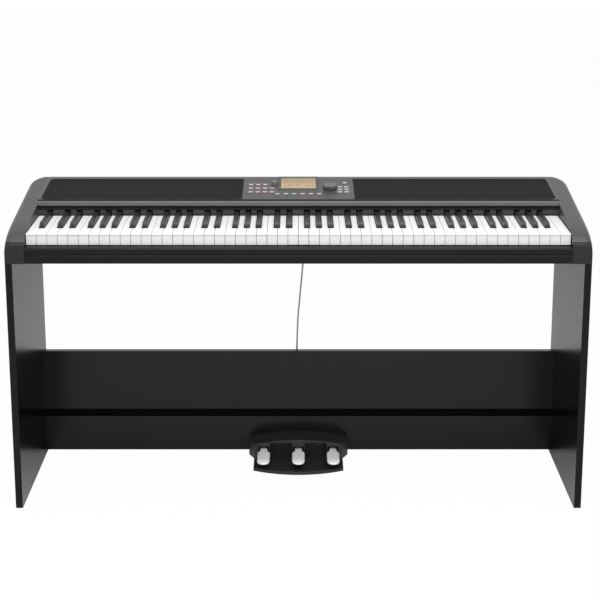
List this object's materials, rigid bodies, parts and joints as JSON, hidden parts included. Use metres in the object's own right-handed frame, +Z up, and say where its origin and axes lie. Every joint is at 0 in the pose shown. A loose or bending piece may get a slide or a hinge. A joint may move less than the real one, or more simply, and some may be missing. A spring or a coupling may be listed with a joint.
{
  "type": "digital piano on stand",
  "caption": "Slab digital piano with a full weighted keyboard, sloping control panel and speaker grilles, on a panel stand with a three-pedal unit.",
  "frame": {"origin": "on the floor, at the middle of the width and of the depth", "axes": "+X to the player's right along the keyboard, +Y to the back, +Z up; the player sits at -Y"},
  "size_m": [1.312, 0.36, 0.7185],
  "materials": {
    "case_plastic": "satin moulded plastic with a fine texture",
    "cheek_plastic": "satin moulded plastic",
    "slip_plastic": "satin black moulded plastic",
    "grille_metal": "matt black perforated sheet",
    "panel_plastic": "satin mid grey plastic",
    "display": "amber backlit display window",
    "button_rose": "translucent matt plastic",
    "button_grey": "matt plastic",
    "button_light": "matt plastic",
    "knob_plastic": "satin plastic",
    "key_white": "glossy white key caps",
    "key_black": "satin black key caps",
    "bed_plastic": "grey moulded plastic",
    "steel": "bright drawn steel",
    "felt": "charcoal pressed felt",
    "pcb": "green circuit board",
    "speaker": "black frame and paper cone",
    "black_plastic": "matt black plastic",
    "screw_black": "black steel",
    "laminate": "satin black laminate on board",
    "bracket": "black powder coat",
    "glide": "hard rubber",
    "pedal_black": "satin black moulded plastic",
    "pedal_metal": "satin chrome plate",
    "cord_grey": "light grey flexible sheath"
  },
  "bodies": {
    "piano": {"bottom_case": "case_plastic", "top_case": "case_plastic", "left_cheek": "cheek_plastic", "right_cheek": "cheek_plastic", "key_slip": "slip_plastic", "left_grille": "grille_metal", "right_grille": "grille_metal", "left_speaker": "speaker", "right_speaker": "speaker", "control_panel": "panel_plastic", "display_window": "display", "main_board": "pcb", "key_bed": "bed_plastic", "pivot_rod": "steel", "key_felts": "felt", "contact_board": "pcb", "jack_plate": "black_plastic", "pedal_socket": "black_plastic", "case_screws": "screw_black", "left_panel": "laminate", "right_panel": "laminate", "back_board": "laminate", "pedal_board": "laminate", "stand_brackets": "bracket", "stand_screws": "screw_black", "floor_glides": "glide", "pedal_base": "pedal_black", "pedal_cover": "pedal_black", "pedal_shaft": "steel", "soft_spring": "steel", "sostenuto_spring": "steel", "damper_spring": "steel", "pedal_cord": "cord_grey", "cord_plug": "cord_grey", "cord_grommet": "black_plastic"},
    "white_keys_low": {"white_keys_low": "key_white"},
    "black_keys_low": {"black_keys_low": "key_black"},
    "white_keys_high": {"white_keys_high": "key_white"},
    "black_keys_high": {"black_keys_high": "key_black"},
    "key_c4": {"key_c4": "key_white"},
    "key_c_sharp4": {"key_c_sharp4": "key_black"},
    "key_d4": {"key_d4": "key_white"},
    "key_d_sharp4": {"key_d_sharp4": "key_black"},
    "key_e4": {"key_e4": "key_white"},
    "key_f4": {"key_f4": "key_white"},
    "key_f_sharp4": {"key_f_sharp4": "key_black"},
    "key_g4": {"key_g4": "key_white"},
    "key_g_sharp4": {"key_g_sharp4": "key_black"},
    "key_a4": {"key_a4": "key_white"},
    "key_a_sharp4": {"key_a_sharp4": "key_black"},
    "key_b4": {"key_b4": "key_white"},
    "buttons_left": {"buttons_left": "button_rose"},
    "buttons_center": {"buttons_center": "button_grey"},
    "buttons_right": {"buttons_right": "button_light"},
    "power_button": {"power_button": "button_grey"},
    "value_dial": {"value_dial": "knob_plastic"},
    "volume_knob": {"volume_knob": "knob_plastic"},
    "soft_pedal": {"soft_pedal": "pedal_metal"},
    "sostenuto_pedal": {"sostenuto_pedal": "pedal_metal"},
    "damper_pedal": {"damper_pedal": "pedal_metal"}
  },
  "joints": [
    {"name": "white_keys_low_press", "type": "hinge", "parent": "piano", "child": "white_keys_low", "pos_m": [0, 0.047, 0.646], "axis": [1, 0, 0], "range_deg": [0, 2.8], "stiffness_Nm_per_rad": 11.5, "springref_deg": -11.46},
    {"name": "black_keys_low_press", "type": "hinge", "parent": "piano", "child": "black_keys_low", "pos_m": [0, 0.047, 0.646], "axis": [1, 0, 0], "range_deg": [0, 2.8], "stiffness_Nm_per_rad": 8, "springref_deg": -11.46},
    {"name": "white_keys_high_press", "type": "hinge", "parent": "piano", "child": "white_keys_high", "pos_m": [0, 0.047, 0.646], "axis": [1, 0, 0], "range_deg": [0, 2.8], "stiffness_Nm_per_rad": 11, "springref_deg": -11.46},
    {"name": "black_keys_high_press", "type": "hinge", "parent": "piano", "child": "black_keys_high", "pos_m": [0, 0.047, 0.646], "axis": [1, 0, 0], "range_deg": [0, 2.8], "stiffness_Nm_per_rad": 7.5, "springref_deg": -11.46},
    {"name": "key_c4_press", "type": "hinge", "parent": "piano", "child": "key_c4", "pos_m": [0, 0.047, 0.646], "axis": [1, 0, 0], "range_deg": [0, 2.8], "stiffness_Nm_per_rad": 0.5, "springref_deg": -11.46},
    {"name": "key_c_sharp4_press", "type": "hinge", "parent": "piano", "child": "key_c_sharp4", "pos_m": [0, 0.047, 0.646], "axis": [1, 0, 0], "range_deg": [0, 2.8], "stiffness_Nm_per_rad": 0.5, "springref_deg": -11.46},
    {"name": "key_d4_press", "type": "hinge", "parent": "piano", "child": "key_d4", "pos_m": [0, 0.047, 0.646], "axis": [1, 0, 0], "range_deg": [0, 2.8], "stiffness_Nm_per_rad": 0.5, "springref_deg": -11.46},
    {"name": "key_d_sharp4_press", "type": "hinge", "parent": "piano", "child": "key_d_sharp4", "pos_m": [0, 0.047, 0.646], "axis": [1, 0, 0], "range_deg": [0, 2.8], "stiffness_Nm_per_rad": 0.5, "springref_deg": -11.46},
    {"name": "key_e4_press", "type": "hinge", "parent": "piano", "child": "key_e4", "pos_m": [0, 0.047, 0.646], "axis": [1, 0, 0], "range_deg": [0, 2.8], "stiffness_Nm_per_rad": 0.5, "springref_deg": -11.46},
    {"name": "key_f4_press", "type": "hinge", "parent": "piano", "child": "key_f4", "pos_m": [0, 0.047, 0.646], "axis": [1, 0, 0], "range_deg": [0, 2.8], "stiffness_Nm_per_rad": 0.5, "springref_deg": -11.46},
    {"name": "key_f_sharp4_press", "type": "hinge", "parent": "piano", "child": "key_f_sharp4", "pos_m": [0, 0.047, 0.646], "axis": [1, 0, 0], "range_deg": [0, 2.8], "stiffness_Nm_per_rad": 0.5, "springref_deg": -11.46},
    {"name": "key_g4_press", "type": "hinge", "parent": "piano", "child": "key_g4", "pos_m": [0, 0.047, 0.646], "axis": [1, 0, 0], "range_deg": [0, 2.8], "stiffness_Nm_per_rad": 0.5, "springref_deg": -11.46},
    {"name": "key_g_sharp4_press", "type": "hinge", "parent": "piano", "child": "key_g_sharp4", "pos_m": [0, 0.047, 0.646], "axis": [1, 0, 0], "range_deg": [0, 2.8], "stiffness_Nm_per_rad": 0.5, "springref_deg": -11.46},
    {"name": "key_a4_press", "type": "hinge", "parent": "piano", "child": "key_a4", "pos_m": [0, 0.047, 0.646], "axis": [1, 0, 0], "range_deg": [0, 2.8], "stiffness_Nm_per_rad": 0.5, "springref_deg": -11.46},
    {"name": "key_a_sharp4_press", "type": "hinge", "parent": "piano", "child": "key_a_sharp4", "pos_m": [0, 0.047, 0.646], "axis": [1, 0, 0], "range_deg": [0, 2.8], "stiffness_Nm_per_rad": 0.5, "springref_deg": -11.46},
    {"name": "key_b4_press", "type": "hinge", "parent": "piano", "child": "key_b4", "pos_m": [0, 0.047, 0.646], "axis": [1, 0, 0], "range_deg": [0, 2.8], "stiffness_Nm_per_rad": 0.5, "springref_deg": -11.46},
    {"name": "buttons_left_press", "type": "slide", "parent": "piano", "child": "buttons_left", "axis": [0, 0.1132, -0.9936], "range_m": [0, 0.0012], "stiffness_N_per_m": 1650, "springref_m": -0.001},
    {"name": "buttons_center_press", "type": "slide", "parent": "piano", "child": "buttons_center", "axis": [0, 0.1132, -0.9936], "range_m": [0, 0.0012], "stiffness_N_per_m": 900, "springref_m": -0.001},
    {"name": "buttons_right_press", "type": "slide", "parent": "piano", "child": "buttons_right", "axis": [0, 0.1132, -0.9936], "range_m": [0, 0.0012], "stiffness_N_per_m": 900, "springref_m": -0.001},
    {"name": "power_button_press", "type": "slide", "parent": "piano", "child": "power_button", "axis": [0, 0.1132, -0.9936], "range_m": [0, 0.0012], "stiffness_N_per_m": 150, "springref_m": -0.001},
    {"name": "value_dial_turn", "type": "hinge", "parent": "piano", "child": "value_dial", "pos_m": [0.076, 0.08206, 0.70389], "axis": [0, -0.1132, 0.9936], "continuous": true},
    {"name": "volume_knob_turn", "type": "hinge", "parent": "piano", "child": "volume_knob", "pos_m": [-0.058, 0.11286, 0.7074], "axis": [0, -0.1132, 0.9936], "range_deg": [-140, 140]},
    {"name": "soft_pedal_press", "type": "hinge", "parent": "piano", "child": "soft_pedal", "pos_m": [0, 0.116, 0.038], "axis": [1, 0, 0], "range_deg": [0, 7], "stiffness_Nm_per_rad": 4, "springref_deg": -8.59, "deforming": ["soft_spring"]},
    {"name": "sostenuto_pedal_press", "type": "hinge", "parent": "piano", "child": "sostenuto_pedal", "pos_m": [0, 0.116, 0.038], "axis": [1, 0, 0], "range_deg": [0, 7], "stiffness_Nm_per_rad": 4, "springref_deg": -8.59, "deforming": ["sostenuto_spring"]},
    {"name": "damper_pedal_press", "type": "hinge", "parent": "piano", "child": "damper_pedal", "pos_m": [0, 0.116, 0.038], "axis": [1, 0, 0], "range_deg": [0, 7], "stiffness_Nm_per_rad": 4, "springref_deg": -8.59, "deforming": ["damper_spring"]}
  ]
}
